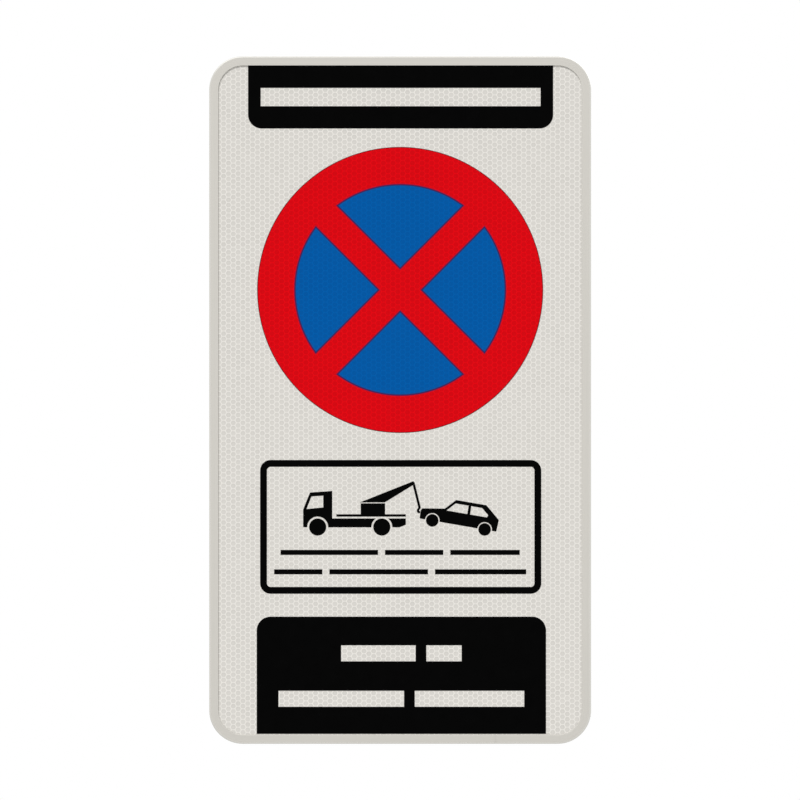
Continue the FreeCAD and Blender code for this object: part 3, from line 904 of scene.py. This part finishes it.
def rim_path(bend_steps=32, support=1.0):
    """Stations round the sign: a core point, a turn in radians and the way so far, in millimetres.

    The outer edge lies CORNER_RADIUS from the core, in the direction of the turn. On a bend the
    core stays and the turn runs through 90 degrees. On a straight member the core moves. One more
    station stands a little before and after each bend, so that its shading ends there.
    """
    reach_x, reach_z = HALF_WIDTH - CORNER_RADIUS, HALF_HEIGHT - CORNER_RADIUS
    cores = [[JOINT_X + JOINT_GAP / 2, -reach_z]]
    turns = [-np.pi / 2]
    for quarter, (side_x, side_z) in enumerate(CORNER_SIDES):
        bend = (quarter - 1 + np.linspace(0, 1, bend_steps + 1)) * np.pi / 2
        core = np.array([side_x * reach_x, side_z * reach_z])
        before = core - support * np.array([-np.sin(bend[0]), np.cos(bend[0])])
        after = core + support * np.array([-np.sin(bend[-1]), np.cos(bend[-1])])
        cores += [before, *np.tile(core, (len(bend), 1)), after]
        turns += [bend[0], *bend, bend[-1]]
    cores.append([JOINT_X - JOINT_GAP / 2, -reach_z])
    turns.append(3 * np.pi / 2)
    cores, turns = np.array(cores), np.array(turns)
    moved = np.linalg.norm(np.diff(cores, axis=0), axis=1) + CORNER_RADIUS * np.diff(turns)
    return cores, turns, np.concatenate([[0], np.cumsum(moved)])


def carry_section(cores, turns, outline):
    """Points (stations, outline points, xyz) in metres: core + (radius - u) towards the turn."""
    reach = (CORNER_RADIUS - outline[:, 0])[None, :]
    x = cores[:, 0, None] + reach * np.cos(turns)[:, None]
    z = cores[:, 1, None] + reach * np.sin(turns)[:, None]
    y = np.broadcast_to(-outline[:, 1], x.shape)
    return np.stack([x, y, z], axis=-1) / 1000


cores, turns, along = rim_path()
grid = carry_section(cores, turns, section)
stations, count = grid.shape[:2]
profile = make_piece("edge_profile_smooth", grid.reshape(-1, 3), *tube_faces(stations, count))
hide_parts("edge_profile")

# %% [markdown]
# ## Drawing lines of the profile
# An extrusion carries fine lines along its length, which bend with it round the corners. A pattern
# fixed in space would cut straight across the bends. So the mesh gets a UV map that measures both
# ways on its surface, along the path and round the section, and the lines are noise that is drawn
# out along the path.

# %% UV map that follows the profile
def lay_uv(piece, along, around, columns):
    """UV in metres from each corner's station and place on the section's outline.

    The outline's last point joins its first. Faces there use the whole length round for the first
    point, not 0. The two end caps, which have more than four corners, don't.
    """
    mesh = piece.data
    corner = np.empty(len(mesh.loops), np.int32)
    mesh.loops.foreach_get("vertex_index", corner)
    start = np.empty(len(mesh.polygons), np.int32)
    total = np.empty(len(mesh.polygons), np.int32)
    mesh.polygons.foreach_get("loop_start", start)
    mesh.polygons.foreach_get("loop_total", total)
    row, column = corner // columns, corner % columns
    face = np.repeat(np.arange(len(start)), total)
    has_last = np.zeros(len(start), bool)
    has_last[face[column == columns - 1]] = True
    round_again = has_last[face] & (column == 0) & (total[face] == 4)
    v = np.where(round_again, around[-1], around[column])
    uv = np.stack([along[row], v], axis=1) / 1000
    layer = mesh.uv_layers.new(name="surface")
    layer.data.foreach_set("uv", uv.astype(np.float32).ravel())


closed = np.vstack([section, section[:1]])
around = np.concatenate([[0], np.cumsum(np.linalg.norm(np.diff(closed, axis=0), axis=1))])
lay_uv(profile, along, around, count)
print("profile", round(along[-1]), "mm long,", round(around[-1]), "mm round its section")

# %% [markdown]
# ## Painted highlight and shade on the profile
# The front lip's two edges get a painted highlight: a lighter colour, and a little less roughness.
# The inside of the groove is darker, as painted shade with some dust, and rougher, as it left the
# die. Both could be painted on by hand, but the UV map already says how far round the section each
# point is. So each of these places is a band of that coordinate.

# %% Bands round the section
# The lip's two edges that get a painted highlight: corner, then where it is full and where it ends.
HIGHLIGHT_EDGES = ((14, 0.4, 1.1), (15, 0.9, 1.6))
FULL_HIGHLIGHT = 0.8
# The groove's mouth edges, between which the inside is darkened by painted shade with some dust.
GROOVE_EDGES = (2, 7)
BLEND_WIDTH = 0.001


def middle_of(corner):
    """How far round the section the middle of a corner's arc is, in metres."""
    first = corner * POINTS_A_CORNER
    return float(around[first:first + POINTS_A_CORNER].mean()) / 1000


def highlight_share(w, way_round):
    """How strong the painted highlight on the lip's edges is at each point.

    Each edge has its corner's number and two distances from the middle of its arc, in radii of
    that arc. The painted highlight is full up to the first and gone from the second.
    """
    highlighted = 0.0
    for corner, start, end in HIGHLIGHT_EDGES:
        off = w.math("ABSOLUTE", w.math("SUBTRACT", way_round, middle_of(corner)))
        reach = SECTION[corner][2] / 1000
        band = w.step(off, start * reach, end * reach, low=FULL_HIGHLIGHT, high=0.0)
        highlighted = w.math("ADD", highlighted, band)
    return highlighted


# Where the groove's inside gets painted shade with some dust.
def groove_dust_and_shade(w, way_round):
    """1 between the two edges of the groove's mouth, the long way through the groove, else 0."""
    start, end = (middle_of(corner) for corner in GROOVE_EDGES)
    from_start = w.step(way_round, start, start + BLEND_WIDTH)
    to_end = w.step(way_round, end - BLEND_WIDTH, end, low=1.0, high=0.0)
    return w.math("MULTIPLY", from_start, to_end)


# Where the painted highlight lies on each of the lip's edges.
highlight_at = [round(1000 * middle_of(corner), 1) for corner, _, _ in HIGHLIGHT_EDGES]
print("rubbed edges at", highlight_at, "mm round the section")

# %% [markdown]
# ## Satin anodised finish
# Anodised aluminium is matt and a trace warm, and the lines that the die left show through. One
# even roughness would look like paint. So fine lines and broad ones run along the profile, and a
# very fine grain lies over them.

# %% Satin anodised finish
LINE_SCALES = (6.0, 5200.0, 1.0)
BROAD_SCALES = (1.6, 420.0, 1.0)
GRAIN_SCALE = 1400.0

satin_profile, w = start_finish("satin_anodised_profile")
surface = w.node("ShaderNodeUVMap", uv_map="surface").outputs[0]
lines = w.noise(w.vector("MULTIPLY", surface, LINE_SCALES), 1.0, detail=3.0, roughness=0.6)
broad = w.noise(w.vector("MULTIPLY", surface, BROAD_SCALES), 1.0)
grain = w.noise(w.place(), GRAIN_SCALE)
colour = w.blend(broad, screen(206, 203, 196), screen(211, 208, 201))
colour = w.blend(w.step(lines, 0.35, 0.65, low=0.0, high=0.35), colour, screen(200, 197, 190))
rough = w.math("ADD", lines, w.math("MULTIPLY", grain, 0.5))
rough = w.step(rough, 0.4, 1.1, low=0.30, high=0.40)

way_round = w.node("ShaderNodeSeparateXYZ", {0: surface}).outputs["Y"]
# Painted highlight on the front lip's two edges.
highlighted = highlight_share(w, way_round)
dust_and_shade = groove_dust_and_shade(w, way_round)
# Painted shade with some dust: the groove's inside is darker, and also rougher.
colour = w.blend(dust_and_shade, colour, screen(172, 169, 163))
rough = w.math("ADD", rough, w.math("MULTIPLY", dust_and_shade, 0.15))
# The lighter base colour on the lip's edges is the painted highlight.
end_finish(w, {
    "Base Color": w.blend(highlighted, colour, screen(215, 213, 207)),
    "Metallic": 1.0,
    "Roughness": w.math("SUBTRACT", rough, w.math("MULTIPLY", highlighted, 0.12)),
    "Normal": bump(w, w.math("ADD", lines, grain), depth=0.000004, strength=0.5),
})
profile.data.materials.append(satin_profile)
print("profile finished")

# %% [markdown]
# ## The plate's back
# Behind the film the plate is bare rolled aluminium. Rolling leaves long fine streaks up the
# sheet, and handling leaves a faint haze. Brushed metal in general could be shiny in one direction
# only, but rolled sheet is nearly even, so streaks in colour and gloss are enough.

# %% Mill finish
WIDE_SHARE = 0.12
HAZE_SCALE = 7.0


def mill_finish(name, streaks):
    """Bare rolled aluminium with streaks; streaks gives the pattern's scale along x, y and z."""
    finish, w = start_finish(name)
    place = w.place()
    fine = w.noise(w.vector("MULTIPLY", place, streaks), 1.0, detail=4.0, roughness=0.65)
    wide = w.noise(w.vector("MULTIPLY", place, [WIDE_SHARE * s for s in streaks]), 1.0)
    haze = w.noise(place, HAZE_SCALE, detail=3.0)
    colour = w.blend(wide, screen(172, 174, 177), screen(204, 205, 207))
    colour = w.blend(w.step(fine, 0.3, 0.7, low=0.0, high=0.5), colour, screen(214, 215, 216))
    rough = w.math("ADD", w.math("MULTIPLY", fine, 0.5), w.math("MULTIPLY", haze, 0.5))
    end_finish(w, {
        "Base Color": colour,
        "Metallic": 1.0,
        "Roughness": w.step(rough, 0.3, 0.7, low=0.30, high=0.48),
        "Normal": bump(w, fine, depth=0.000006, strength=0.6),
    })
    return finish


wear("backing_plate", mill_finish("mill_finish_plate", (900.0, 900.0, 9.0)))
wear("joint_splice", mill_finish("mill_finish_splice", (14.0, 1100.0, 1100.0)))
print("plate and splice finished")

# %% [markdown]
# ## Set screws
# Two headless screws jam the splice in the groove. On the real part only their sockets show, down
# in the splice. A pin would nearly do, but a screw has a thread, a cup at its tip and a hexagon in
# its head. All of that is one grid, whose radius is a function of the way along the screw and the
# turn about it.

# %% Screws
TURNS, ROWS = 48, 97
CHAMFER = 0.8
MOUTH_CHAMFER, MOUTH_RADIUS, MOUTH_DEPTH = 0.15, 1.8, 0.2
POLE_RADIUS = 0.05
# Cup in the tip and cone below the socket: depth from its border, radius.
CUP = ((0.9, POLE_RADIUS), (0.9, 0.7), (0.0, 1.7))
CONE = ((0.5, 0.9), (0.9, POLE_RADIUS))


def screw_grid(length=8.0, radius=3.0, pitch=1.0, thread=0.5, flats=3.0, socket=3.5):
    """Rows of (depth below the head, radius) for each turn, in millimetres, from tip to socket.

    Thread: the radius falls by the thread's depth as a triangle wave of depth / pitch less the
    turn, so the ridge climbs once per turn. It fades out in the chamfers at both ends.
    Socket: a hexagon's radius is half its flats over the cosine of the angle from the nearest
    flat's middle, which repeats every 60 degrees.
    """
    turn = np.linspace(0, 2 * np.pi, TURNS, endpoint=False)
    one = np.ones_like(turn)
    depth = np.linspace(length, 0, ROWS)[:, None]
    wave = np.abs(((depth / pitch - turn / (2 * np.pi)) % 1) * 2 - 1)
    chamfer = np.minimum(np.minimum(depth, length - depth) + radius - CHAMFER, radius)
    shank = np.minimum(radius - thread * (1 - wave), chamfer)
    hexagon = flats / 2 / np.cos(turn % (np.pi / 3) - np.pi / 6)
    mouth = np.maximum(hexagon + MOUTH_CHAMFER, MOUTH_RADIUS)
    tip = [(length - deep, r * one) for deep, r in CUP]
    head = [(0, mouth), (MOUTH_DEPTH, hexagon), (socket, hexagon)]
    head += [(socket + deep, r * one) for deep, r in CONE]
    depths = [d for d, _ in tip] + list(depth[:, 0]) + [d for d, _ in head]
    radii = np.array([r for _, r in tip] + list(shank) + [r for _, r in head])
    return np.array(depths)[:, None] * one, radii, turn


def make_screw(name, node):
    """A set screw in the place of its CAD node, whose head looks along +Y."""
    low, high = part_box(node)
    depth, radius, turn = screw_grid()
    x = (low.x + high.x) / 2 * 1000 + radius * np.cos(turn)
    z = (low.z + high.z) / 2 * 1000 + radius * np.sin(turn)
    points = np.stack([x, high.y * 1000 - depth, z], axis=-1) / 1000
    screw = make_piece(name, points.reshape(-1, 3), *tube_faces(len(points), TURNS))
    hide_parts(node)
    return screw


screws = [make_screw(f"set_screw_{side}", f"splice_screw_{side}") for side in ("left", "right")]

# %% [markdown]
# ## Zinc on the screws
# Set screws are often zinc plated, which makes them paler and a trace bluer than bare steel. Plain
# grey metal would do for screws this small, but close up a fine mottle tells plating from steel.
# So one noise drives its colour, roughness and bump.

# %% Zinc finish
zinc, w = start_finish("zinc_plated_steel")
place = w.place()
mottle = w.noise(place, scale=2500.0, detail=3.0)
end_finish(w, {
    "Base Color": w.blend(mottle, screen(176, 180, 186), screen(210, 211, 208)),
    "Metallic": 1.0,
    "Roughness": w.step(mottle, 0.3, 0.7, low=0.24, high=0.38),
    "Normal": bump(w, mottle, depth=0.00001, strength=0.4),
})
for screw in screws:
    screw.data.materials.append(zinc)
print("screws finished")
